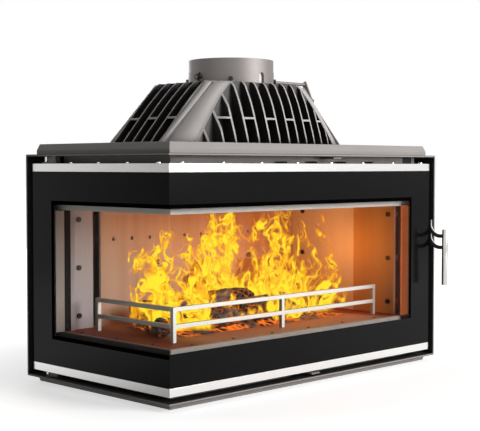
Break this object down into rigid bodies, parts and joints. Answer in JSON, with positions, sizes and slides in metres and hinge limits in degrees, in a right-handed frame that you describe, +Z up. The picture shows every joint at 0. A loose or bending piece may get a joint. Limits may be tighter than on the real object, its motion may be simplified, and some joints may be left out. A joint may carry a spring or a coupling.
{
  "type": "fireplace insert",
  "caption": "Corner fireplace insert: steel firebox with a swinging glass corner door, log fence, air levers, finned cast smoke hood and a flue collar with a damper.",
  "frame": {"origin": "centre of the flange plates in plan, on the surface that the base tray stands on", "axes": "+Z up towards the flue; the front pane faces -Y and the side pane faces -X"},
  "size_m": [0.876, 0.5235, 0.728],
  "materials": {
    "casing_steel": "warm grey stove paint",
    "flange_steel": "matt black stove paint",
    "frame_steel": "matt dark stove paint",
    "bar_steel": "grey stove paint",
    "lining_steel": "bare heat-toned steel plate",
    "screw_steel": "dark oxide",
    "baffle_board": "raw pressed mineral board",
    "bright_steel": "fine satin",
    "hood_casting": "warm grey painted casting",
    "grate_casting": "raw dark casting",
    "collar_steel": "turned satin",
    "door_glass": "clear ceramic pane",
    "rope_gasket": "braided glass rope"
  },
  "bodies": {
    "root": {"base_tray": "casing_steel", "bottom_plate": "flange_steel", "top_plate": "flange_steel", "top_cover": "casing_steel", "rear_flange": "flange_steel", "right_flange": "flange_steel", "back_wall": "casing_steel", "right_wall": "casing_steel", "right_jamb": "frame_steel", "left_jamb": "frame_steel", "front_apron": "frame_steel", "side_apron": "frame_steel", "front_lower_apron": "frame_steel", "side_lower_apron": "frame_steel", "front_lintel": "bar_steel", "side_lintel": "bar_steel", "front_sill": "bar_steel", "side_sill": "bar_steel", "floor_plate": "lining_steel", "ash_pan": "frame_steel", "back_lining": "lining_steel", "end_panel": "lining_steel", "right_lining": "lining_steel", "lining_screws": "screw_steel", "lining_spacers": "lining_steel", "baffle": "baffle_board", "fence_front": "bright_steel", "fence_side": "bright_steel", "hinge_pins": "bright_steel", "latch_keeper": "bright_steel", "smoke_hood": "hood_casting", "flue_collar": "collar_steel", "collar_bolts": "screw_steel", "window_air_duct": "frame_steel"},
    "door": {"front_glass": "door_glass", "side_glass": "door_glass", "front_bottom_trim": "bright_steel", "side_bottom_trim": "bright_steel", "front_top_trim": "bright_steel", "side_top_trim": "bright_steel", "front_bottom_rail": "frame_steel", "side_bottom_rail": "frame_steel", "front_top_rail": "frame_steel", "side_top_rail": "frame_steel", "hinge_stile": "frame_steel", "handle_stile": "frame_steel", "door_gasket": "rope_gasket", "trim_screws": "bright_steel", "hinge_blocks": "bright_steel"},
    "handle": {"handle_lever": "bright_steel", "handle_bar": "bright_steel", "handle_pivot": "bright_steel"},
    "damper": {"damper_flap": "collar_steel", "damper_shaft": "collar_steel", "damper_nut": "screw_steel", "damper_crank": "collar_steel", "crank_bolt": "screw_steel"},
    "primary_air": {"primary_air_slider": "frame_steel"},
    "window_air": {"window_air_slider": "frame_steel"},
    "grate": {"grate": "grate_casting"}
  },
  "joints": [
    {"name": "door_swing", "type": "hinge", "parent": "root", "child": "door", "pos_m": [-0.4175, 0.19, 0.257], "axis": [0, 0, -1], "range_deg": [0, 90]},
    {"name": "handle_turn", "type": "hinge", "parent": "door", "child": "handle", "pos_m": [0.4295, -0.2195, 0.316], "axis": [-1, 0, 0], "range_deg": [-9, 25]},
    {"name": "damper_turn", "type": "hinge", "parent": "root", "child": "damper", "pos_m": [0, 0.034, 0.686], "axis": [1, 0, 0], "range_deg": [0, 90]},
    {"name": "primary_air_slide", "type": "slide", "parent": "root", "child": "primary_air", "axis": [1, 0, 0], "range_m": [-0.03, 0.03]},
    {"name": "window_air_slide", "type": "slide", "parent": "root", "child": "window_air", "axis": [1, 0, 0], "range_m": [-0.03, 0.03]},
    {"name": "grate_lift", "type": "slide", "parent": "root", "child": "grate", "axis": [0, 0, 1], "range_m": [0, 0.1]}
  ]
}
